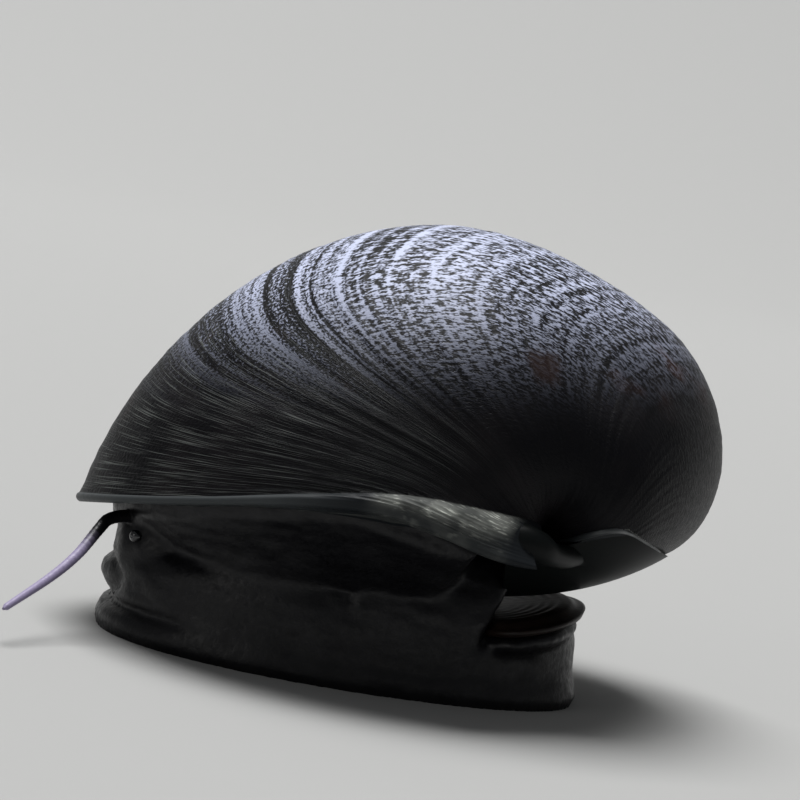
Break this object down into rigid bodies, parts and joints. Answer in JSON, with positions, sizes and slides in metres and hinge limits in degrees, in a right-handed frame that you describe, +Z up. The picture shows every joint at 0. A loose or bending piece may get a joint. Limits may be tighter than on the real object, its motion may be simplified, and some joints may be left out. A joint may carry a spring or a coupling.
{
  "type": "nerite snail",
  "caption": "Life-size still model of a crawling freshwater nerite snail with a black helmet-shaped shell, broad foot, head, feelers and lid.",
  "frame": {"origin": "on the floor under the middle of the sole, which is a flat at z = 0", "axes": "+Z up from the sole; the head and feelers point along -X and the tail along +X; +Y is the snail's right, the side of the spire"},
  "size_m": [0.0262, 0.0217, 0.0178],
  "materials": {
    "shell_black": "satin black shell with a blue-violet sheen and fine growth lines",
    "flesh_black": "moist black skin, fine wrinkles",
    "feeler_lavender": "moist skin, dark at the root and pale lavender to the tip",
    "lid_brown": "smooth dark brown horny lid",
    "eye_black": "wet black"
  },
  "bodies": {
    "root": {"eye_left": "eye_black", "eye_right": "eye_black", "eye_stalk_left": "flesh_black", "eye_stalk_right": "flesh_black", "foot": "flesh_black", "foot_sole": "flesh_black", "head": "flesh_black", "mantle": "flesh_black", "neck": "flesh_black", "operculum": "lid_brown", "shell": "shell_black", "snout": "flesh_black", "tentacle_left_base": "feeler_lavender", "tentacle_left_mid": "feeler_lavender", "tentacle_left_tip": "feeler_lavender", "tentacle_right_base": "feeler_lavender", "tentacle_right_mid": "feeler_lavender", "tentacle_right_tip": "feeler_lavender"}
  },
  "joints": []
}
